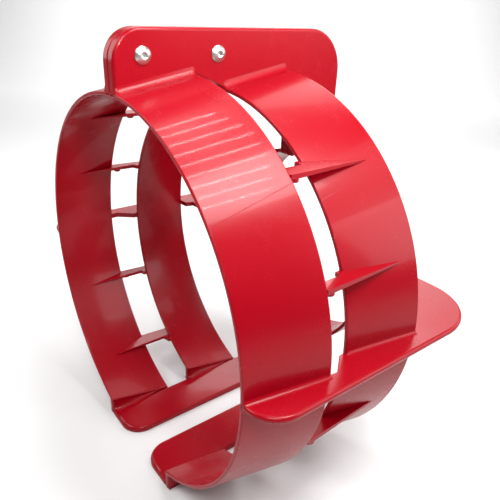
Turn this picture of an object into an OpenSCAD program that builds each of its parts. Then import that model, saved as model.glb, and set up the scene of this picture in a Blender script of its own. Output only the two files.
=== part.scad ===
// Two-part ring guard: two flared outer rings and a small rear ring, moulded as
// mirrored halves that bolt together along a top flange and stand on two feet.
// Millimetres. +Z up, the rings' axis along +Y, front ring towards -Y.

/* [Rings] */
// Outer radius of the two large rings at their front edges
ring_r = 125; // [95:1:155]
// Width of each large ring along the axis
ring_w = 49; // [38:1:60]
// How much each large ring's radius grows from its front edge to its rear edge
ring_flare = 9; // [4:0.5:14]
// Clear gap between the two large rings
ring_gap = 20; // [14:1:28]
// Wall thickness of all three rings
wall = 2.5; // [1.8:0.1:3.5]

/* [Rear ring] */
// Outer radius of the small rear ring
hub_r = 76; // [60:1:88]
// Width of the small rear ring along the axis
hub_w = 38; // [28:1:46]
// Clear gap between the second large ring and the small rear ring
hub_gap = 19; // [12:1:26]

/* [Top flange] */
// Thickness of each half's flange plate
flange_t = 7; // [5:0.5:9]
// Height of the flange above the front edge of the rings
flange_rise = 33; // [28:1:45]
// How far the flange runs behind the second large ring
flange_tail = 49; // [36:1:56]
// Radius of the flange's front corner
flange_front_corner = 17.5; // [10:0.5:22]
// Radius of the flange's rear corner
flange_rear_corner = 27.5; // [15:0.5:32]

/* [Side wings] */
// Thickness of each wing
wing_t = 4; // [3:0.5:6]
// Width of each wing outside the front edge of the rings
wing_reach = 19.5; // [14:0.5:30]
// How far the wing runs behind the second large ring
wing_tail = 59.5; // [48:0.5:70]
// Radius of the wing's front corner
wing_front_corner = 18; // [8:0.5:19]
// Radius of the wing's rear corner
wing_rear_corner = 40; // [20:1:44]
// Distance from the second ring to the strut that a wing or flange sends inwards
strut_gap = 9; // [5:0.5:11]

/* [Ribs] */
// Thickness of each rib
rib_t = 3; // [2:0.5:4]
// Height of one rib level above or below the wings, and between levels
rib_pitch = 49; // [34:1:52]
// How far the ribs sit below even spacing about the wings
rib_drop = 2.75; // [0:0.25:5]
// Radius of the round boss under each rib
boss_r = 2.5; // [1.5:0.1:3.5]
// Height of the round boss under each rib
boss_h = 2.2; // [1:0.1:4]

/* [Feet] */
// Half of the slot between the two feet
foot_gap = 10; // [8:0.5:20]
// Distance from the centre plane to the inner face of each foot's upright walls
foot_wall_x = 42; // [38:1:50]
// Thickness of the feet's upright walls
foot_wall_t = 5.5; // [3:0.5:7]
// Distance from the centre plane to the foot plate's outer edge where no ring stands on it
foot_waist_x = 42; // [28:0.5:46]
// Thickness of the foot plate
foot_t = 4.5; // [3.5:0.5:6]
// Depth of the foot's underside below the front edge of the rings
foot_drop = 4; // [2:0.5:9]
// Radius of the foot plate's free corners
foot_corner = 14.5; // [5:0.5:15]

/* [Screws] */
// Thread diameter of the flange screws
screw_d = 5; // [5:1:8]
// Diameter of the button head
head_d = 9.5; // [8:0.5:14]
// Height of the button head
head_h = 2.8; // [2.2:0.1:4.5]
// Height of the straight rim at the foot of the head
head_rim = 0.6; // [0.3:0.1:1]
// Distance of the first screw from the flange's front edge
screw_front = 17; // [14:0.5:22]
// Distance between the two screws
screw_pitch = 48; // [40:1:60]
// Distance of the screws below the flange's top edge
screw_below_top = 14; // [11:0.5:16]
// Radial clearance of each hole round its screw
screw_clearance = 0.3; // [0.1:0.05:0.6]

/* [Hidden] */
$fn = 128;
plastic = "crimson";
steel = "silver";

// Stations along the axis, counted from the front edge of the first ring
pitch = ring_w + ring_gap;
second_end = pitch + ring_w;
hub_start = second_end + hub_gap;
flange_end = second_end + flange_tail;
wing_end = second_end + wing_tail;
flange_strut = second_end + strut_gap + 2;
wing_strut = second_end + strut_gap - 2;

// The frame stands the feet on z = 0 and centres the length on y = 0
axis_z = ring_r + foot_drop;
front_y = -wing_end / 2;

rear_r = ring_r + ring_flare;
flange_top = ring_r + flange_rise;
flange_base = ring_r - wall - 0.5;
wing_x = ring_r + wing_reach;
wing_base = ring_r - wall + 1;
wing_notch_x = rear_r - wall + 1;
wing_notch_start = 0.28;
wing_notch_rest = 0.18;
foot_z = -axis_z;
foot_x = foot_wall_x + foot_wall_t;
foot_strip_w = foot_waist_x - foot_gap;
screw_z = flange_top - screw_below_top;
hole_r = screw_d / 2 + screw_clearance;
socket_af = screw_d * 0.6;
socket_depth = head_h * 0.6;
dome_r = (head_d * head_d / 4 + (head_h - head_rim) * (head_h - head_rim)) / (2 * (head_h - head_rim));
washer_r = screw_d;
washer_t = 1;
nut_af = screw_d * 1.6;
nut_h = screw_d;
screw_tail = 3.4;
thread_gap = 0.02;
big = 2 * (ring_r + flange_rise);

// Outer radius of a large ring at a distance s behind its own front edge
function ring_radius(s) = ring_r + ring_flare * s / ring_w;
// Where a circle of radius r meets the level z
function reach(r, z) = sqrt(r * r - z * z);

// Puts a child, made with the rings' axis on the origin and its front at y = 0, in the part's frame
module placed() {
  translate([0, front_y, axis_z]) children();
}

// Mirrors a child of the right half to make the left half
module on_left() {
  mirror([1, 0, 0]) children();
}

// A solid flared drum round the Y axis, from station s, shrunk by skin
module drum(s, skin = 0) {
  translate([0, s, 0])
    rotate([-90, 0, 0])
      rotate_extrude()
        polygon([[0, 0], [ring_r - skin, 0], [rear_r - skin, ring_w], [0, ring_w]]);
}

// A flared ring wall round the Y axis, from station s
module ring_wall(s) {
  translate([0, s, 0])
    rotate([-90, 0, 0])
      rotate_extrude()
        polygon([[ring_r - wall, 0], [ring_r, 0], [rear_r, ring_w], [rear_r - wall, ring_w]]);
}

// The right half of the space, open below the rings between the foot walls
module right_side(bottom_x) {
  difference() {
    translate([0, -big, -big]) cube([big, 3 * big, 2 * big]);
    translate([-1, -big, -big]) cube([bottom_x + 1, 3 * big, big]);
  }
}

module large_ring_half(s) {
  color(plastic)
    placed()
      intersection() {
        ring_wall(s);
        right_side(foot_wall_x);
      }
}

module rear_ring_half() {
  color(plastic)
    placed()
      intersection() {
        translate([0, hub_start, 0])
          rotate([-90, 0, 0])
            rotate_extrude()
              polygon([[hub_r - wall, 0], [hub_r, 0], [hub_r, hub_w], [hub_r - wall, hub_w]]);
        right_side(foot_gap);
      }
}

// A quarter disc that rounds a corner, in the quadrant that the signs sx and sy name
module quarter(r, sx, sy) {
  intersection() {
    circle(r);
    translate([sx < 0 ? -r : 0, sy < 0 ? -r : 0]) square(r);
  }
}

// The solid inside of the small rear ring, run long both ways
module hub_core(s0, s1) {
  translate([0, s0, 0]) rotate([-90, 0, 0]) cylinder(r = hub_r, h = s1 - s0);
}

// Side outline of the flange, as seen along X: first coordinate y, second z
module flange_outline() {
  top = flange_top;
  fc = flange_front_corner;
  rc = flange_rear_corner;
  difference() {
    union() {
      translate([0, flange_base]) square([fc, top - flange_base - fc]);
      translate([fc, flange_base]) square([flange_end - fc - rc, top - flange_base]);
      translate([fc, top - fc]) quarter(fc, -1, 1);
      translate([flange_end - rc, top - rc]) quarter(rc, 1, 1);
      translate([flange_strut, 0]) square([flange_end - flange_strut, top - rc]);
    }
    polygon([[ring_w, 0], [ring_w, rear_r], [pitch, ring_r], [pitch, 0]]);
  }
}

module screw_holes(r, x0, x1) {
  for (i = [0, 1])
    translate([x0, screw_front + i * screw_pitch, screw_z])
      rotate([0, 90, 0]) cylinder(r = r, h = x1 - x0);
}

module flange_half() {
  color(plastic)
    placed()
      difference() {
        rotate([90, 0, 90]) linear_extrude(flange_t) flange_outline();
        drum(0);
        drum(pitch);
        hub_core(flange_strut - 1, wing_end + 1);
        screw_holes(hole_r, -1, flange_t + 1);
      }
}

// Plan outline of a wing: first coordinate x, second y
module wing_outline() {
  fc = wing_front_corner;
  rc = wing_rear_corner;
  difference() {
    union() {
      translate([wing_base, 0]) square([wing_x - wing_base - fc, wing_end - rc]);
      translate([wing_base, fc]) square([wing_x - wing_base, wing_end - fc - rc]);
      translate([wing_x - fc, fc]) quarter(fc, 1, -1);
      translate([0, wing_strut]) square([wing_x - rc, wing_end - wing_strut]);
      translate([wing_x - rc, wing_end - rc]) quarter(rc, 1, 1);
    }
    polygon([
      [0, ring_w],
      [wing_notch_x, ring_w],
      [wing_notch_x, ring_w + ring_gap * wing_notch_start],
      [wing_base, pitch - ring_gap * wing_notch_rest],
      [0, pitch - ring_gap * wing_notch_rest]
    ]);
  }
}

module wing_half() {
  color(plastic)
    placed()
      difference() {
        translate([0, 0, -wing_t / 2]) linear_extrude(wing_t) wing_outline();
        drum(0);
        drum(pitch);
        hub_core(wing_strut - 1, wing_end + 1);
      }
}

// Plan outline of a foot plate, first coordinate x, second y: a strip with round ends
// along the slot, and a wider pad under each large ring
module foot_outline() {
  r = min(foot_corner, foot_strip_w / 2 - 0.5);
  translate([foot_gap, r]) square([foot_strip_w, flange_end - 2 * r]);
  translate([foot_gap + r, 0]) square([foot_strip_w - r, r + 1]);
  translate([foot_gap + r, flange_end - r - 1]) square([foot_strip_w - 2 * r, r + 1]);
  translate([foot_gap + r, r]) quarter(r, -1, -1);
  translate([foot_gap + r, flange_end - r]) quarter(r, -1, 1);
  translate([foot_waist_x - r, flange_end - r]) quarter(r, 1, 1);
  for (s = [0, pitch])
    translate([foot_gap + r, s]) square([foot_x - foot_gap - r, ring_w]);
}

module foot_half() {
  color(plastic)
    placed()
      difference() {
        union() {
          translate([0, 0, foot_z]) linear_extrude(foot_t) foot_outline();
          for (s = [0, pitch])
            translate([foot_wall_x, s, foot_z]) cube([foot_wall_t, ring_w, axis_z / 2]);
        }
        for (s = [0, pitch])
          intersection() {
            drum(s);
            translate([foot_wall_x, -1, foot_z - 1]) cube([big, 2 * big, axis_z]);
          }
      }
}

// Plan outline of a rib at height z: the neck between the rings, then the wide end on the second ring
module rib_outline(z) {
  neck_in = reach(ring_radius(ring_w * 0.4) - wall, z);
  neck_out = reach(rear_r, z);
  wide_in = reach(ring_r - wall, z);
  tip_s = ring_w * 0.76;
  tip_out = reach(ring_radius(tip_s), z);
  polygon([
    [neck_in, 0],
    [neck_out, 0],
    [neck_out, ring_w],
    [tip_out, pitch + tip_s],
    [wide_in, pitch + tip_s],
    [wide_in, pitch - 2],
    [neck_in, pitch - 6]
  ]);
}

// Everything a rib may fill: inside the front ring, then between the rings and outside the second one
module rib_space() {
  drum(0, wall);
  difference() {
    translate([0, ring_w, -big]) cube([big, ring_w + ring_gap, 2 * big]);
    drum(pitch);
  }
}

module rib(level) {
  z = level * rib_pitch - rib_drop;
  boss_x = reach(rear_r, z) - boss_r - 0.4;
  color(plastic)
    placed() {
      intersection() {
        translate([0, 0, z - rib_t / 2]) linear_extrude(rib_t) rib_outline(z);
        rib_space();
      }
      translate([boss_x, ring_w + boss_r + 1.7, z - rib_t / 2 - boss_h])
        cylinder(r = boss_r, h = boss_h);
    }
}

// One button-head screw turned round X, its head's seat at x = 0
module screw() {
  shank = 2 * flange_t + washer_t + nut_h + screw_tail;
  rotate([0, 90, 0])
    difference() {
      rotate_extrude() {
        intersection() {
          translate([0, head_h - dome_r]) circle(dome_r);
          square([head_d / 2, head_h]);
        }
        translate([0, -shank]) square([screw_d / 2, shank + head_h / 4]);
      }
      translate([0, 0, head_h - socket_depth])
        cylinder(d = socket_af / cos(30), h = head_h, $fn = 6);
    }
}

module flange_screws() {
  color(steel)
    placed()
      for (i = [0, 1])
        translate([flange_t, screw_front + i * screw_pitch, screw_z]) screw();
}

module flange_washers() {
  color(steel)
    placed()
      difference() {
        screw_holes(washer_r, -flange_t - washer_t, -flange_t);
        screw_holes(hole_r, -big, big);
      }
}

module flange_nuts() {
  color(steel)
    placed()
      difference() {
        for (i = [0, 1])
          translate([-flange_t - washer_t - nut_h, screw_front + i * screw_pitch, screw_z])
            rotate([0, 90, 0]) cylinder(d = nut_af / cos(30), h = nut_h, $fn = 6);
        screw_holes(screw_d / 2 + thread_gap, -big, big);
      }
}

large_ring_half(0);  // right_front_ring
large_ring_half(pitch);  // right_second_ring
rear_ring_half();  // right_rear_ring
flange_half();  // right_flange
wing_half();  // right_wing
foot_half();  // right_foot
rib(2);  // right_rib_top
rib(1);  // right_rib_upper
rib(-1);  // right_rib_lower
rib(-2);  // right_rib_bottom
on_left() large_ring_half(0);  // left_front_ring
on_left() large_ring_half(pitch);  // left_second_ring
on_left() rear_ring_half();  // left_rear_ring
on_left() flange_half();  // left_flange
on_left() wing_half();  // left_wing
on_left() foot_half();  // left_foot
on_left() rib(2);  // left_rib_top
on_left() rib(1);  // left_rib_upper
on_left() rib(-1);  // left_rib_lower
on_left() rib(-2);  // left_rib_bottom
flange_screws();
flange_washers();
flange_nuts();
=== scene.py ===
"""A split ring guard: two glossy red half mouldings screwed together along a top flange, on a pale floor."""

import math

import bmesh
import bpy
import numpy as np
from mathutils import Matrix, Vector


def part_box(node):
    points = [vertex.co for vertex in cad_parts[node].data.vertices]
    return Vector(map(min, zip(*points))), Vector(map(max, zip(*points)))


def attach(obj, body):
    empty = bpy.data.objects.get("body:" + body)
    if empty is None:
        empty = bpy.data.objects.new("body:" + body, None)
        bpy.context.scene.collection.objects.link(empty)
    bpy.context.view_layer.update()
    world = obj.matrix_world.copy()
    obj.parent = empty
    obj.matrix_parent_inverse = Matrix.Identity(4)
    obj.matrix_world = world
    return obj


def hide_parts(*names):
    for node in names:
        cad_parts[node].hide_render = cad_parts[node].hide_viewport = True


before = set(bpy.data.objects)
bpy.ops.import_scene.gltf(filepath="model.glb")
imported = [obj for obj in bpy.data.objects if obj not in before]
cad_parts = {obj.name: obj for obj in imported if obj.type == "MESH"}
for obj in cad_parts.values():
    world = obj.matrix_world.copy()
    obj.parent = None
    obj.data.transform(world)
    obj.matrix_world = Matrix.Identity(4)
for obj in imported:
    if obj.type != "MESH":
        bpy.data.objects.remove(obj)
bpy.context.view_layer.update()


# ---- Front ring -------------------------------------------------------------------------------
# The larger front ring, in two halves that meet at the top under the flange. Each half is part of one
# injection moulding in glossy red plastic: a thin flared wall whose four long edges are rounded.

MM = 0.001
front_low, front_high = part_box("right_front_ring")
wing_low, wing_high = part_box("right_wing")
axis_z = (wing_low.z + wing_high.z) / 2
front_y = front_low.y
ring_width = front_high.y - front_low.y
ring_end_x = 42 * MM
wide_radius = front_high.z - axis_z
flare = 9 * MM
narrow_radius = wide_radius - flare
wall = 2.5 * MM
wall_edge = 0.8 * MM
half_seam = 0.12 * MM


class Socket:
    """One output in a material, so that shader maths can be written as sums."""

    def __init__(self, finish, output):
        self.finish = finish
        self.output = output

    def maths(self, operation, first, second):
        return self.finish.node("ShaderNodeMath", {"operation": operation}, {0: first, 1: second})

    def __add__(self, other):
        return self.maths("ADD", self, other)

    __radd__ = __add__

    def __mul__(self, other):
        return self.maths("MULTIPLY", self, other)

    __rmul__ = __mul__


class Finish:
    """A material while it is being made up from nodes."""

    def __init__(self, name):
        self.material = bpy.data.materials.new(name)
        self.material.use_nodes = True
        self.tree = self.material.node_tree
        self.tree.nodes.clear()

    def node(self, kind, settings=None, values=None, output=0):
        """Adds a node, sets it up, feeds its sockets and gives back one of its outputs."""
        made = self.tree.nodes.new(kind)
        for key, setting in (settings or {}).items():
            setattr(made, key, setting)
        for key, value in (values or {}).items():
            if isinstance(value, Socket):
                self.tree.links.new(value.output, made.inputs[key])
            else:
                made.inputs[key].default_value = value
        return Socket(self, made.outputs[output])

    def noise(self, place, scale, detail):
        """Soft random patches, about as many in a metre as scale says."""
        return self.node("ShaderNodeTexNoise", None, {"Vector": place, "Scale": scale, "Detail": detail})

    def finish(self, shader):
        """Puts the shader on the material's surface and gives back the material."""
        end = self.tree.nodes.new("ShaderNodeOutputMaterial")
        self.tree.links.new(shader.output, end.inputs["Surface"])
        return self.material


def red_plastic():
    """Glossy moulded plastic: faint clouds of colour, a fine grain and slow waves in the surface."""
    red = Finish("red_plastic")
    deep_red = (0.225, 0.0005, 0.0052, 1.0)
    light_red = (0.265, 0.0009, 0.0066, 1.0)
    wave_height = 0.08 * MM
    grain_height = 0.004 * MM
    place = red.node("ShaderNodeTexCoord", output="Object")
    clouds = red.noise(place, 14.0, 3.0)
    # In a Mix node for colours, socket 0 is the factor, 6 and 7 are the colours and output 2 is the result.
    mixed = {0: clouds, 6: deep_red, 7: light_red}
    colour = red.node("ShaderNodeMix", {"data_type": "RGBA"}, mixed, output=2)
    grain = red.noise(place, 1300.0, 1.0)
    smears = red.noise(place, 55.0, 4.0)
    waves = red.noise(place, 32.0, 1.0)
    roughness = 0.22 + 0.06 * smears + 0.03 * grain
    height = waves * wave_height + grain * grain_height
    relief = red.node("ShaderNodeBump", None, {"Height": height, "Strength": 1.0, "Distance": 1.0})
    shader = red.node(
        "ShaderNodeBsdfPrincipled",
        None,
        {
            "Base Color": colour,
            "Roughness": roughness,
            "Normal": relief,
            "Specular IOR Level": 0.15,
            "Coat Weight": 0.12,
            "Coat Roughness": 0.07,
        },
    )
    return red.finish(shader)


plastic = red_plastic()


def rounded_outline(corners, radius, steps):
    """A closed convex outline with an arc at each corner."""
    outline = []
    for index, corner in enumerate(corners):
        here = np.array(corner, float)
        back = np.array(corners[index - 1], float) - here
        ahead = np.array(corners[(index + 1) % len(corners)], float) - here
        back /= np.linalg.norm(back)
        ahead /= np.linalg.norm(ahead)
        half_angle = math.acos(np.clip(back @ ahead, -1, 1)) / 2
        towards = (back + ahead) / np.linalg.norm(back + ahead)
        centre = here + towards * radius / math.sin(half_angle)
        start = here + back * radius / math.tan(half_angle) - centre
        end = here + ahead * radius / math.tan(half_angle) - centre
        sweep = math.acos(np.clip(start @ end / radius**2, -1, 1))
        for step in range(steps + 1):
            share = step / steps
            arm = (math.sin((1 - share) * sweep) * start + math.sin(share * sweep) * end) / math.sin(sweep)
            outline.append(centre + arm)
    return outline


def skin(sections):
    """A closed shell over a row of sections, as (vertices, faces)."""
    sections = np.array(sections, float)
    rows, points = sections.shape[:2]
    faces = [tuple(range(points)), tuple(range((rows - 1) * points, rows * points))]
    for row in range(rows - 1):
        for point in range(points):
            a = row * points + point
            b = row * points + (point + 1) % points
            faces.append((a, b, b + points, a + points))
    return sections.reshape(-1, 3), faces


def shell_mesh(name, shells, sign=1):
    """A smooth mesh from closed shells, faces outwards, mirrored to the left half where sign is -1."""
    sharp_angle = 38
    shape = bmesh.new()
    for vertices, faces in shells:
        placed = [shape.verts.new((sign * x, y, z)) for x, y, z in vertices]
        for face in faces:
            shape.faces.new([placed[index] for index in face])
    bmesh.ops.recalc_face_normals(shape, faces=shape.faces)
    for face in shape.faces:
        face.smooth = True
    mesh = bpy.data.meshes.new(name)
    shape.to_mesh(mesh)
    shape.free()
    mesh.set_sharp_from_angle(angle=math.radians(sharp_angle))
    return mesh


def moulding(name, shells, cad_node, sign):
    """One piece of red plastic from closed shells, in place of its CAD node."""
    mesh = shell_mesh(name, shells, sign)
    mesh.materials.append(plastic)
    piece = bpy.data.objects.new(name, mesh)
    bpy.context.scene.collection.objects.link(piece)
    shading = piece.modifiers.new("even_shading", "WEIGHTED_NORMAL")
    shading.keep_sharp = True
    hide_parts(cad_node)
    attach(piece, "root")


def both_halves(node, shells):
    """The right half's piece and its mirror image in the left half."""
    for side, sign in (("right", 1), ("left", -1)):
        moulding(f"{side}_{node}_moulding", shells, f"{side}_{node}", sign)


def half_ring(start, width, near_radius, far_radius, end_x):
    """Half a ring's wall, from its rounded lower end at x = end_x up to the seam at the top."""
    corners = [(0, near_radius - wall), (width, far_radius - wall), (width, far_radius), (0, near_radius)]
    section = np.array(rounded_outline(corners, wall_edge, 6))
    middle = (near_radius + (far_radius - near_radius) * section[:, 0] / width) - wall / 2

    def ends_at(x, inset):
        """The section where the wall is cut at x, drawn in by inset."""
        radius = middle + (section[:, 1] - middle) * (1 - 2 * inset / wall)
        along = width / 2 + (section[:, 0] - width / 2) * (1 - 2 * inset / width)
        return np.arccos(x / radius), radius, along

    def placed(angle, radius, along):
        """The section's points at their angles round the axis."""
        return np.stack([radius * np.cos(angle), start + along, axis_z + radius * np.sin(angle)], 1)

    sections = []
    for turn in np.linspace(0, math.pi / 2, 6):
        cut_x = end_x + wall_edge * (1 - math.cos(turn))
        angle, radius, along = ends_at(cut_x, wall_edge * (1 - math.sin(turn)))
        sections.append(placed(-angle, radius, along))
    low = -ends_at(end_x + wall_edge, 0)[0]
    high, radius, along = ends_at(half_seam, 0)
    steps = 180
    for step in range(1, steps + 1):
        sections.append(placed(low + (high - low) * step / steps, radius, along))
    return skin(sections)


def ring_radius(along):
    """Outer radius of a large ring at a distance behind its own front edge."""
    return narrow_radius + flare * along / ring_width


def parting_line(start):
    """The faint raised line where two parts of the mould met, along the ring's outside."""
    line_x = 96 * MM
    short_of_edge = 0.8 * MM
    ridge = ((-0.3, -0.22), (-0.3, 0.22), (0.03, 0.22), (0.1, 0.08), (0.1, -0.08), (0.03, -0.22))
    sections = []
    for along in np.linspace(short_of_edge, ring_width - short_of_edge, 12):
        radius = ring_radius(along)
        height = math.sqrt(radius**2 - line_x**2)
        outward = np.array((line_x, height)) / radius
        beside = np.array((outward[1], -outward[0]))
        section = []
        for out, aside in ridge:
            x, z = np.array((line_x, height)) + (outward * out + beside * aside) * MM
            section.append((x, start + along, axis_z + z))
        sections.append(section)
    return skin(sections)


front_wall = half_ring(front_y, ring_width, narrow_radius, wide_radius, ring_end_x)
both_halves("front_ring", [front_wall, parting_line(front_y)])


# ---- Second ring ------------------------------------------------------------------------------
# The ring behind the front one, with the same flare and wall. It comes out of the same mould as
# the front ring, and ribs, wings, feet and flange hold the two apart.

second_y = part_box("right_second_ring")[0].y
second_wall = half_ring(second_y, ring_width, narrow_radius, wide_radius, ring_end_x)
both_halves("second_ring", [second_wall, parting_line(second_y)])


# ---- Rear ring --------------------------------------------------------------------------------
# The small straight ring at the back. The wings and the flange reach in behind the second ring to
# carry it, and its lower ends stay apart by the width of the slot between the feet.

rear_low, rear_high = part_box("right_rear_ring")
rear_radius = rear_high.z - axis_z
rear_width = rear_high.y - rear_low.y
slot_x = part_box("right_foot")[0].x
both_halves("rear_ring", [half_ring(rear_low.y, rear_width, rear_radius, rear_radius, slot_x)])


# ---- Top flange -------------------------------------------------------------------------------
# A thick plate on each half, along the top. The two lie against each other at the seam, where their
# softened edges leave a groove, and run down behind the second ring to the rear ring.


def arc(centre, radius, start, end, steps=14):
    """Points on a circle from one angle to another, in degrees."""
    angles = np.radians(np.linspace(start, end, steps + 1))
    return [(centre[0] + radius * math.cos(a), centre[1] + radius * math.sin(a)) for a in angles]


def rimmed_plate(outline, low, high, low_edge, high_edge, place, steps=5):
    """A plate over an outline of points (a, b), or (a, b, edge) where the upper rim's radius differs."""
    flat = np.array([point[:2] for point in outline], float)
    upper = np.array([point[2] if len(point) > 2 else high_edge for point in outline], float)
    lower = np.minimum(upper, low_edge)
    before = flat - np.roll(flat, 1, 0)
    after = np.roll(flat, -1, 0) - flat
    sides = [np.stack([d[:, 1], -d[:, 0]], 1) / np.linalg.norm(d, axis=1)[:, None] for d in (before, after)]
    outward = sides[0] + sides[1]
    outward /= np.linalg.norm(outward, axis=1)[:, None]
    mitre = 1 / np.clip(np.sum(outward * sides[0], 1), 0.6, 1)
    area = np.sum(flat[:, 0] * np.roll(flat[:, 1], -1) - np.roll(flat[:, 0], -1) * flat[:, 1])
    inward = -np.sign(area) * outward * mitre[:, None]
    rings = []
    for turn in np.linspace(0, math.pi / 2, steps + 1):
        drawn_in = flat + inward * (lower * (1 - math.sin(turn)))[:, None]
        rings.append([place(a, b, low + e * (1 - math.cos(turn))) for (a, b), e in zip(drawn_in, lower)])
    for turn in np.linspace(0, math.pi / 2, steps + 1):
        drawn_in = flat + inward * (upper * (1 - math.cos(turn)))[:, None]
        rings.append([place(a, b, high - e * (1 - math.sin(turn))) for (a, b), e in zip(drawn_in, upper)])
    return skin(rings)


sink = 0.45 * MM
least_fillet = 0.05 * MM


def corner_section(radius, face, side, size):
    """The filled corner between a plate's face and a ring: (distance along the plate, across it)."""
    steps = 8
    across = face + side * size
    reach = radius + size
    along = math.sqrt(reach**2 - across**2)
    first = -side * math.pi / 2
    last = math.atan2(-across, -along)
    turn = (last - first + math.pi) % (2 * math.pi) - math.pi
    section = []
    for step in range(steps + 1):
        angle = first + turn * step / steps
        section.append((along + size * math.cos(angle), across + size * math.sin(angle)))
    touch = np.array((along, across)) * radius / reach
    root = math.sqrt(radius**2 - face**2)
    section.append(tuple(touch * (1 - sink / radius)))
    section.append((root - sink, face - side * sink))
    section.append((along, face - side * sink))
    return section


def corner_run(start, end, radius_at, face, side, full_size, place):
    """A fillet that follows the corner of a plate and a ring, and fades out at both ends."""
    fade = 1.2 * MM
    steps = 24
    sections = []
    easing = (1 - np.cos(np.linspace(0, math.pi, steps + 1))) / 2
    for along in start + (end - start) * easing:
        near_end = min(along - start, end - along, fade) / fade
        size = max(full_size * math.sqrt(1 - (1 - near_end) ** 2), least_fillet)
        section = corner_section(radius_at(along), face, side, size)
        sections.append([place(p, q, along) for p, q in section])
    return skin(sections)


def on_flange(up, out, along):
    """A point from its height over the axis, its distance from the seam and its distance back."""
    return (out, front_y + along, axis_z + up)


flange_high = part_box("right_flange")[1]
flange_thick = flange_high.x
flange_top = flange_high.z - axis_z
flange_end = flange_high.y - front_y
second_start = second_y - front_y
second_end = second_start + ring_width
rear_start = rear_low.y - front_y
rear_end = rear_start + rear_width
flange_edge = 1.9 * MM
seam_edge = 0.9 * MM
flange_front_corner = 17.5 * MM
flange_rear_corner = 27.5 * MM
flange_strut = second_end + 11 * MM
flange_fillet = 4.2 * MM
flange_rear_fillet = 2.2 * MM
gap_edge = 0.4 * MM
gap_inset = 0.2 * MM
strut_edge = 0.6 * MM
strut_end_edge = 1.2 * MM
hidden = 0.1 * MM
mid_wall = wall / 2
front_of_gap = wide_radius + 0.1 * MM
rear_of_gap = narrow_radius + 0.5 * MM
under_ring = narrow_radius - wall - 0.5 * MM
over_rear_ring = rear_radius + 3 * MM

flange_outline = [
    (0, narrow_radius - mid_wall),
    (ring_width, wide_radius - mid_wall, hidden),
    (ring_width + gap_inset, front_of_gap, gap_edge),
    (second_start - gap_inset, rear_of_gap, gap_edge),
    (second_start, narrow_radius - mid_wall, hidden),
    (second_end, wide_radius - mid_wall, hidden),
    (second_end, under_ring, strut_edge),
    (flange_strut, under_ring, strut_edge),
    (flange_strut, over_rear_ring, strut_end_edge),
    (flange_strut, rear_radius - mid_wall, strut_end_edge),
    (flange_end, rear_radius - mid_wall, flange_edge),
]
rear_centre = (flange_end - flange_rear_corner, flange_top - flange_rear_corner)
flange_outline += arc(rear_centre, flange_rear_corner, 0, 90)
front_centre = (flange_front_corner, flange_top - flange_front_corner)
flange_outline += arc(front_centre, flange_front_corner, 90, 180)
flange = rimmed_plate(
    flange_outline,
    half_seam,
    flange_thick,
    seam_edge,
    flange_edge,
    lambda along, up, out: on_flange(up, out, along),
)


def ring_corners(face, side, size, place):
    """The fillets of a plate's face along both large rings."""
    return [
        corner_run(start, start + ring_width, lambda s, a=start: ring_radius(s - a), face, side, size, place)
        for start in (0, second_start)
    ]


def rear_corner(end, face, side, size, place):
    """The fillet of a plate's face along the rear ring."""
    return corner_run(rear_start, end, lambda s: rear_radius, face, side, size, place)


flange_fillets = ring_corners(flange_thick, 1, flange_fillet, on_flange)
flange_fillets.append(rear_corner(flange_end, flange_thick, 1, flange_rear_fillet, on_flange))
both_halves("flange", [flange] + flange_fillets)


# ---- Side wings -------------------------------------------------------------------------------
# A flat fin with a rounded edge along each side, level with the rings' axis and moulded with them. It
# stands on both large rings, is notched in the gap between them, and reaches in to the rear ring.


def on_wing(out, up, along):
    """A point from its distance from the centre plane, its height over the axis and its distance back."""
    return (out, front_y + along, axis_z + up)


wing_half_thick = (wing_high.z - wing_low.z) / 2
wing_x = wing_high.x
wing_end = wing_high.y - front_y
wing_nose = 1.75 * MM
wing_front_corner = 18 * MM
wing_rear_corner = 40 * MM
wing_strut = second_end + 7 * MM
wing_strut_root = narrow_radius - 3 * MM
wing_ring_root = narrow_radius - 1.5 * MM
wing_inner_edge = 0.8 * MM
wing_fillet = 2.4 * MM
wing_rear_fillet = 2.0 * MM
notch_start = ring_width + 5.5 * MM
notch_end = second_start - 3.6 * MM

wing_outline = arc((wing_x - wing_front_corner, wing_front_corner), wing_front_corner, -90, 0)
wing_outline += arc((wing_x - wing_rear_corner, wing_end - wing_rear_corner), wing_rear_corner, 0, 90, 24)
wing_outline += [
    (rear_radius - mid_wall, wing_end),
    (rear_radius - mid_wall, wing_strut),
    (wing_strut_root, wing_strut, wing_inner_edge),
    (wing_ring_root, second_end + 0.5 * MM, wing_inner_edge),
    (wide_radius - mid_wall, second_end, hidden),
    (narrow_radius - mid_wall, second_start, hidden),
    (narrow_radius - mid_wall, notch_end, wing_inner_edge),
    (wide_radius - mid_wall, notch_start, wing_inner_edge),
    (wide_radius - mid_wall, ring_width, hidden),
    (narrow_radius - mid_wall, 0, hidden),
]
wing = rimmed_plate(
    wing_outline,
    -wing_half_thick,
    wing_half_thick,
    wing_nose,
    wing_nose,
    lambda out, along, up: on_wing(out, up, along),
)
wing_fillets = []
for side in (1, -1):
    face = side * wing_half_thick
    wing_fillets += ring_corners(face, side, wing_fillet, on_wing)
    wing_fillets.append(rear_corner(rear_end, face, side, wing_rear_fillet, on_wing))
both_halves("wing", [wing] + wing_fillets)


# ---- Feet -------------------------------------------------------------------------------------
# A flat plate on each side of the slot at the bottom, moulded with the rings. Under the end of each
# large ring a wall stands on it, taller at the ring's front edge than at its rear edge, with a fillet.

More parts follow.
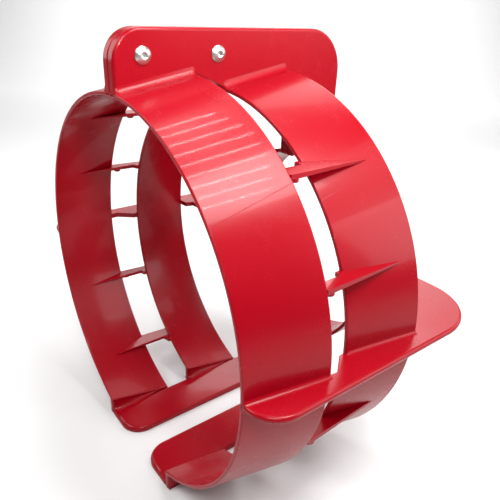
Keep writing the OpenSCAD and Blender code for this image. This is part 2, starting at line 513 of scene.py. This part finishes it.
foot_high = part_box("right_foot")[1]
foot_x = foot_high.x
foot_thick = 4.5 * MM
foot_end = foot_high.y - front_y
foot_corner = 15 * MM
foot_nose = 3.6 * MM
foot_rim = 1.3 * MM
foot_heel = 0.5 * MM
foot_fillet_size = 4.2 * MM
pad_thick = 2.2 * MM
pad_edge = 0.4 * MM
pad_x = ring_end_x - 2 * MM


def on_foot(out, along, up):
    """A point from its distance from the centre plane, its distance back and its height off the ground."""
    return (out, front_y + along, up)


foot_outline = [(ring_end_x, 0, foot_nose)]
nose_arc = arc((slot_x + foot_corner, foot_corner), foot_corner, -90, -180)
foot_outline += [
    (x, y, foot_nose + (foot_rim - foot_nose) * index / (len(nose_arc) - 1))
    for index, (x, y) in enumerate(nose_arc)
]
foot_outline += arc((slot_x + foot_corner, foot_end - foot_corner), foot_corner, 180, 90)
foot_outline += arc((ring_end_x - foot_corner, foot_end - foot_corner), foot_corner, 90, 0)
foot = rimmed_plate(foot_outline[::-1], 0, foot_thick, foot_heel, foot_rim, on_foot)


def wall_height(out, along):
    """Height of the ring wall's middle above the ground at a place over the foot."""
    radius = ring_radius(along) - mid_wall
    return axis_z - math.sqrt(radius**2 - out**2)


def foot_wall(start):
    """The wall under one ring, its front edge rounded."""
    nose = 2.2 * MM
    wall_corner = 0.6 * MM
    above_ground = 0.2 * MM
    behind_ring_end = 0.04 * MM
    below_ring_middle = 0.1 * MM
    sections = []
    stations = [nose * (1 - math.cos(t)) for t in np.linspace(0.05, math.pi / 2, 6)]
    stations += list(np.linspace(nose, ring_width, 16)[1:])
    for along in stations:
        short = max(nose - along, 0)
        inset = nose - math.sqrt(nose**2 - short**2)
        left = ring_end_x + inset + behind_ring_end
        right = foot_x - inset
        top_left = wall_height(left, along) - below_ring_middle
        top_right = wall_height(right, along)
        corners = [(left, above_ground), (right, above_ground), (right, top_right), (left, top_left)]
        outline = rounded_outline(corners, wall_corner, 3)
        sections.append([on_foot(x, start + along, z) for x, z in outline])
    return skin(sections)


def foot_fillet(start):
    """The fillet at the wall's foot, on the side that faces the slot."""
    growth = 3 * MM
    first = 0.3 * MM
    share_of_wall = 0.85
    sections = []
    for along in np.linspace(first, ring_width, 24):
        space = wall_height(ring_end_x, along) - foot_thick
        size = min(foot_fillet_size, share_of_wall * space) * min(1, math.sqrt(along / growth))
        size = max(size, least_fillet)
        centre = (ring_end_x - size, foot_thick + size)
        angles = np.linspace(-math.pi / 2, 0, 9)
        section = [(centre[0] + size * math.cos(a), centre[1] + size * math.sin(a)) for a in angles]
        section.append((ring_end_x + sink, foot_thick + size))
        section.append((ring_end_x + sink, foot_thick - sink))
        section.append((centre[0], foot_thick - sink))
        sections.append([on_foot(x, start + along, z) for x, z in section])
    return skin(sections)


def foot_pad(start):
    """The thin pad under one ring's wall."""
    near = start + pad_edge
    far = start + ring_width
    outline = [(x, y, pad_edge) for x, y in ((pad_x, near), (foot_x, near), (foot_x, far), (pad_x, far))]
    return rimmed_plate(outline, 0, pad_thick, foot_heel, pad_edge, on_foot)


foot_shells = [foot]
for part in (foot_pad, foot_wall, foot_fillet):
    foot_shells += [part(start) for start in (0, second_start)]
both_halves("foot", foot_shells)


# ---- Ribs -------------------------------------------------------------------------------------
# Four thin moulded blades on each side tie the two large rings together. Each starts inside the front
# ring, steps inwards just before the second ring, and runs out on that ring's outside. Both tips are
# thinned, and a small round boss hangs under each blade in the gap.

rib_half_thick = 1.5 * MM
rib_edge = 0.7 * MM
rib_thin_edge = 0.3 * MM
rib_start = 19.6 * MM
rib_tip = second_start + 37 * MM
rib_step = second_start - 3.5 * MM
rib_step_slope = 0.6 * MM
rib_slant = 0.5 * MM
start_taper = 26 * MM
start_share = 0.3
tip_taper = 30 * MM
tip_share = 0.45
boss_inset = 2.9 * MM
boss_gap = 4.2 * MM
boss_profile = [(2.5, 0.5), (2.5, -1.7), (2.3, -2.0), (1.9, -2.2), (1.3, -2.2), (1.0, -1.9), (0.5, -1.8)]


def level_reach(radius, height):
    """Distance from the centre plane to a circle of that radius at that height."""
    return math.sqrt(radius**2 - height**2)


def rib_shells(height):
    """The blade and its boss at one height over the axis."""
    neck_in = level_reach(ring_radius(rib_start) - wall, height)
    wide_in = level_reach(narrow_radius - wall, height)
    neck_out = level_reach(wide_radius, height)
    tip_out = level_reach(ring_radius(rib_tip - second_start), height)
    outline = [
        (neck_in, rib_start + rib_slant, rib_thin_edge),
        (neck_in, rib_step - rib_step_slope),
        (wide_in, rib_step + rib_step_slope),
        (wide_in, second_start, rib_thin_edge),
        (level_reach(narrow_radius - mid_wall, height), second_start + rib_slant, hidden),
        (level_reach(ring_radius(rib_tip - second_start) - mid_wall, height), rib_tip, hidden),
        (tip_out, rib_tip, rib_thin_edge),
        (neck_out, ring_width, hidden),
        (level_reach(wide_radius - mid_wall, height), ring_width - rib_slant, hidden),
        (level_reach(ring_radius(rib_start) - mid_wall, height), rib_start, hidden),
    ]
    low = height - rib_half_thick
    high = height + rib_half_thick

    def thinned(out, along, up):
        """A point of the blade, which thins towards both tips."""
        from_start = start_share + (1 - start_share) * (along - rib_start) / start_taper
        from_tip = tip_share + (1 - tip_share) * (rib_tip - along) / tip_taper
        return on_wing(out, height + (up - height) * min(1, from_start, from_tip), along)

    shells = [rimmed_plate(outline, low, high, rib_edge, rib_edge, thinned, 3)]

    boss_x = neck_out - boss_inset
    boss_back = ring_width + boss_gap
    angles = np.linspace(0, 2 * math.pi, 28, endpoint=False)
    rings = []
    for radius, drop in boss_profile:
        reach = radius * MM
        circle = [(boss_x + reach * math.cos(a), boss_back + reach * math.sin(a)) for a in angles]
        rings.append([on_wing(out, low + drop * MM, along) for out, along in circle])
    shells.append(skin(rings))
    return shells


for level in ("top", "upper", "lower", "bottom"):
    rib_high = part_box(f"right_rib_{level}")[1]
    both_halves(f"rib_{level}", rib_shells(rib_high.z - rib_half_thick - axis_z))


# ---- Screws, washers and nuts -----------------------------------------------------------------
# Two stainless button-head socket screws go through the flange from the right. On the left each has
# a plain washer and a lock nut. One of each is turned here and a node tree sets it at both holes.


def bright_steel():
    """Polished stainless with faint turning marks."""
    bright = Finish("bright_steel")
    silver = (0.62, 0.61, 0.58, 1.0)
    mark_height = 0.004 * MM
    place = bright.node("ShaderNodeTexCoord", output="Object")
    stretched = bright.node("ShaderNodeMapping", None, {"Vector": place, "Scale": (400.0, 60.0, 60.0)})
    marks = bright.noise(stretched, 6.0, 3.0)
    height = marks * mark_height
    roughness = 0.24 + 0.16 * marks
    relief = bright.node("ShaderNodeBump", None, {"Height": height, "Strength": 1.0, "Distance": 1.0})
    shader = bright.node(
        "ShaderNodeBsdfPrincipled",
        None,
        {"Base Color": silver, "Metallic": 1.0, "Roughness": roughness, "Normal": relief},
    )
    return bright.finish(shader)


steel = bright_steel()
screws_low, screws_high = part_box("flange_screws")
nuts_low, nuts_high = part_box("flange_nuts")
washers_low, washers_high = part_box("flange_washers")
head_radius = (screws_high.z - screws_low.z) / 2
head_height = screws_high.x - flange_thick
screw_z = (screws_high.z + screws_low.z) / 2
first_screw_y = screws_low.y + head_radius
screw_pitch = screws_high.y - screws_low.y - 2 * head_radius
thread_radius = 2.5 * MM
round_steps = 48


def around(x, radius, steps=round_steps):
    """Points round the X axis, at one radius or at one for each step."""
    angles = np.linspace(0, 2 * math.pi, steps, endpoint=False)
    radii = np.broadcast_to(radius, steps)
    return [(x, r * math.cos(a), r * math.sin(a)) for a, r in zip(angles, radii)]


def hexagon(across_flats):
    """A hexagon's radius at each step round the X axis."""
    sector = math.pi / 3
    angles = np.linspace(0, 2 * math.pi, round_steps, endpoint=False)
    return across_flats / 2 / np.cos((angles + sector / 2) % sector - sector / 2)


def holed(sections):
    """A closed shell round a hole: the last section joins the first."""
    vertices, faces = skin(sections)
    points = len(sections[0])
    last = (len(sections) - 1) * points
    joins = [(last + p, last + (p + 1) % points, (p + 1) % points, p) for p in range(points)]
    return vertices, faces[2:] + joins


def screw_mesh():
    """A domed head with its hexagon socket, and a shank ridged over its far half, seated at x = 0."""
    rim = 0.6 * MM
    soft = 0.25 * MM
    dome = head_height - rim
    dome_radius = (head_radius**2 + dome**2) / (2 * dome)
    flat = 0.42 * head_radius
    socket_tip = 1.9 * MM
    point = 0.05 * MM
    head = [around(0.0, thread_radius), around(0.0, head_radius - soft)]
    head += [around(soft, head_radius), around(rim, head_radius)]
    for share in np.linspace(0, 1, 12)[1:]:
        radius = head_radius + (flat - head_radius) * share
        height = math.sqrt(dome_radius**2 - radius**2) - (dome_radius - dome)
        top = rim + max(height, 0)
        head.append(around(top, radius))
    socket = hexagon(3.0 * MM)
    for depth, grow in ((0.1, 1.09), (0.25, 1.0), (1.6, 1.0)):
        head.append(around(top - depth * MM, grow * socket))
    head.append(around(top - socket_tip, point))

    length = flange_thick - screws_low.x
    into_head = 0.2 * MM
    end_taper = 0.7 * MM
    plain_end = 0.6 * MM
    crest = thread_radius - 0.02 * MM
    threads = 17
    parts = 4
    shank_steps = 24
    shank = [around(into_head, crest, shank_steps)]
    for part in range(threads * parts + 1):
        x = -length / 2 - (length / 2 - plain_end) * part / (threads * parts)
        depth = (0.0, 0.14, 0.3, 0.14)[part % parts] * MM
        shank.append(around(x, crest - depth, shank_steps))
    shank.append(around(-length, thread_radius - end_taper, shank_steps))
    return shell_mesh("screw", [skin(head), skin(shank)])


def nut_mesh(thick, across_flats):
    """A hexagon nut with turned corners and a nylon collar's raised ring, from x = 0 to -thick."""
    inner = across_flats / 2
    corner = inner / math.cos(math.pi / 6)
    flats = hexagon(across_flats)
    hex_end = -0.68 * thick
    sections = []
    for x, limit in ((0, inner), (-0.35 * MM, corner), (hex_end + 0.5 * MM, corner), (hex_end, inner * 0.97)):
        sections.append(around(x, np.minimum(flats, limit)))
    for depth, share in ((0.7, 0.86), (0.93, 0.84), (1.0, 0.74), (1.0, 0.66)):
        sections.append(around(-depth * thick, share * inner))
    bore = thread_radius + 0.05 * MM
    for x in (-thick + 0.3 * MM, -0.2 * MM, 0):
        sections.append(around(x, bore))
    return shell_mesh("nut", [holed(sections)])


def washer_mesh(thick, outer, inner):
    """A flat washer with softened edges, from x = 0 to -thick."""
    soft = 0.2 * MM
    profile = [(0, inner), (0, outer - soft), (-soft, outer), (soft - thick, outer), (-thick, outer - soft)]
    profile.append((-thick, inner))
    return shell_mesh("washer", [holed([around(x, radius) for x, radius in profile])])


def at_both_holes(name, mesh, seat_x, cad_node):
    """Sets one fastener at each hole of the flange with a node tree, and makes the row one plain mesh."""
    holes = 2
    pattern = bpy.data.objects.new(f"{name}_pattern", mesh)
    bpy.context.scene.collection.objects.link(pattern)
    tree = bpy.data.node_groups.new(f"{name}_row", "GeometryNodeTree")
    tree.interface.new_socket("Geometry", in_out="INPUT", socket_type="NodeSocketGeometry")
    pitch_socket = tree.interface.new_socket("Pitch", in_out="INPUT", socket_type="NodeSocketVector")
    start_socket = tree.interface.new_socket("First hole", in_out="INPUT", socket_type="NodeSocketVector")
    shape_socket = tree.interface.new_socket("Fastener", in_out="INPUT", socket_type="NodeSocketObject")
    tree.interface.new_socket("Geometry", in_out="OUTPUT", socket_type="NodeSocketGeometry")
    given = tree.nodes.new("NodeGroupInput")
    line = tree.nodes.new("GeometryNodeMeshLine")
    line.inputs["Count"].default_value = holes
    shape = tree.nodes.new("GeometryNodeObjectInfo")
    row = tree.nodes.new("GeometryNodeInstanceOnPoints")
    real = tree.nodes.new("GeometryNodeRealizeInstances")
    paint = tree.nodes.new("GeometryNodeSetMaterial")
    paint.inputs["Material"].default_value = steel
    result = tree.nodes.new("NodeGroupOutput")
    for source, output, target, entry in (
        (given, "Pitch", line, "Offset"),
        (given, "First hole", line, "Start Location"),
        (given, "Fastener", shape, "Object"),
        (line, "Mesh", row, "Points"),
        (shape, "Geometry", row, "Instance"),
        (row, "Instances", real, "Geometry"),
        (real, "Geometry", paint, "Geometry"),
        (paint, "Geometry", result, "Geometry"),
    ):
        tree.links.new(source.outputs[output], target.inputs[entry])

    carrier = bpy.data.objects.new(f"{name}_carrier", bpy.data.meshes.new(f"{name}_carrier"))
    bpy.context.scene.collection.objects.link(carrier)
    setting = carrier.modifiers.new("row", "NODES")
    setting.node_group = tree
    setting[pitch_socket.identifier] = (0.0, screw_pitch, 0.0)
    setting[start_socket.identifier] = (seat_x, first_screw_y, screw_z)
    setting[shape_socket.identifier] = pattern
    bpy.context.view_layer.update()
    evaluated = carrier.evaluated_get(bpy.context.evaluated_depsgraph_get())
    mesh_now = bpy.data.meshes.new_from_object(evaluated)
    mesh_now.name = name
    piece = bpy.data.objects.new(name, mesh_now)
    bpy.context.scene.collection.objects.link(piece)
    bpy.data.objects.remove(carrier)
    bpy.data.objects.remove(pattern)
    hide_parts(cad_node)
    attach(piece, "root")


at_both_holes("button_head_screws", screw_mesh(), flange_thick, "flange_screws")
washer_hole = 2.8 * MM
washer_radius = (washers_high.z - washers_low.z) / 2
washer = washer_mesh(washers_high.x - washers_low.x, washer_radius, washer_hole)
at_both_holes("plain_washers", washer, washers_high.x, "flange_washers")
nut_across = nuts_high.y - nuts_low.y - screw_pitch
nut = nut_mesh(nuts_high.x - nuts_low.x, nut_across)
at_both_holes("lock_nuts", nut, nuts_high.x, "flange_nuts")


# ---- Floor, light and camera ------------------------------------------------------------------
# A pale floor that curves up behind the guard, a row of narrow lamps overhead, soft lamps around it,
# a narrow beam on the flange, and a camera close to the front ring that looks down from the right.

pan = 51.765
tilt = 25.087
roll = 2.154
from_ring = Vector((2.17242, -0.91641, 1.34848)) * narrow_radius
camera_data = bpy.data.cameras.new("camera")
camera_data.sensor_width = 36.0
camera_data.lens = 37.205
camera = bpy.data.objects.new("camera", camera_data)
camera.rotation_mode = "QUATERNION"
looking = (
    Matrix.Rotation(math.radians(pan), 4, "Z")
    @ Matrix.Rotation(math.radians(90 - tilt), 4, "X")
    @ Matrix.Rotation(math.radians(roll), 4, "Z")
)
camera.matrix_world = Matrix.Translation(Vector((0, front_y, axis_z)) + from_ring) @ looking
bpy.context.scene.collection.objects.link(camera)
bpy.context.scene.camera = camera


def pale_paint():
    """Matt pale paint."""
    paint = Finish("pale_floor")
    pale = (0.62, 0.62, 0.62, 1.0)
    shader = paint.node("ShaderNodeBsdfPrincipled", None, {"Base Color": pale, "Roughness": 0.8})
    return paint.finish(shader)


def sweep():
    """The floor and the backdrop as one sheet, curved where it turns up."""
    near = -4.0
    depth = 1.6
    bend = 0.8
    height = 2.5
    reach = 4.0
    profile = [(near, 0.0), (depth, 0.0)]
    for turn in np.linspace(0, math.pi / 2, 24)[1:]:
        profile.append((depth + bend * math.sin(turn), bend * (1 - math.cos(turn))))
    profile.append((depth + bend, height))
    heading = Matrix.Rotation(math.radians(pan), 4, "Z")
    vertices = [heading @ Vector((across, along, up)) for along, up in profile for across in (-reach, reach)]
    faces = [(2 * i, 2 * i + 1, 2 * i + 3, 2 * i + 2) for i in range(len(profile) - 1)]
    mesh = bpy.data.meshes.new("floor")
    mesh.from_pydata(vertices, [], faces)
    for polygon in mesh.polygons:
        polygon.use_smooth = True
    mesh.materials.append(pale_paint())
    floor = bpy.data.objects.new("floor", mesh)
    bpy.context.scene.collection.objects.link(floor)


def set_up(data, place, aim):
    """Puts a lamp at its place, turned towards its aim."""
    light = bpy.data.objects.new(data.name, data)
    light.location = place
    light.rotation_mode = "QUATERNION"
    light.rotation_quaternion = (Vector(aim) - Vector(place)).to_track_quat("-Z", "Y")
    bpy.context.scene.collection.objects.link(light)


def lamp(name, place, aim, size, power):
    """A soft rectangular lamp."""
    data = bpy.data.lights.new(name, "AREA")
    data.shape = "RECTANGLE"
    data.size = size[0]
    data.size_y = size[1]
    data.energy = power
    set_up(data, place, aim)


middle = Vector((0.02, 0.0, 0.15))


def lamp_round(name, turn, rise, power):
    """A square lamp one metre from the guard, by its direction round it and its height, in degrees."""
    size = (0.5, 0.5)
    turn = math.radians(turn)
    rise = math.radians(rise)
    way = Vector((math.cos(rise) * math.cos(turn), math.cos(rise) * math.sin(turn), math.sin(rise)))
    lamp(name, middle + way, middle, size, power)


sweep()
up = Vector((0, 0, 1))
strips = 9
strip_size = (0.012, 0.34)
strip_power = 1.5
strip_spacing = 0.17
first_strip = -0.52
for strip in range(strips):
    place = Vector((first_strip + strip_spacing * strip, 0.3, 1.6))
    lamp(f"ceiling_strip_{strip}", place, place - up, strip_size, strip_power)
for name, turn, rise, power in (
    ("front_left", -120, 45, 5.2),
    ("right_low", 38, 20, 4.0),
    ("right_high", 38, 45, 1.6),
    ("back_right", 75, 20, 2.3),
    ("back_high", 120, 45, 2.4),
    ("back_low", 120, 20, 1.7),
    ("left_low", 210, 20, 2.0),
):
    lamp_round(name, turn, rise, power)
close_size = (0.2, 0.2)
close_power = 2.2
lamp("near_top", (0.25, 0.05, 0.6), middle, close_size, close_power)
lamp("near_front", (0.35, -0.25, 0.6), middle, close_size, close_power)
backdrop_size = (1.6, 1.6)
backdrop_power = 75.0
lamp("backdrop", (-1.7, 1.4, 1.6), (-2.2, 1.9, 0.0), backdrop_size, backdrop_power)

beam = bpy.data.lights.new("flange_snoot", "SPOT")
beam.energy = 26.0
beam.spot_size = math.radians(17)
beam.spot_blend = 0.6
beam.shadow_soft_size = 0.06
set_up(beam, (0.8, -0.2, 0.6), (0.0, -0.01, 0.265))

world = bpy.data.worlds.new("studio")
world.use_nodes = True
background = world.node_tree.nodes["Background"]
background.inputs["Color"].default_value = (1.0, 1.0, 1.0, 1.0)
background.inputs["Strength"].default_value = 0.1
bpy.context.scene.world = world
bpy.context.scene.view_settings.view_transform = "Standard"
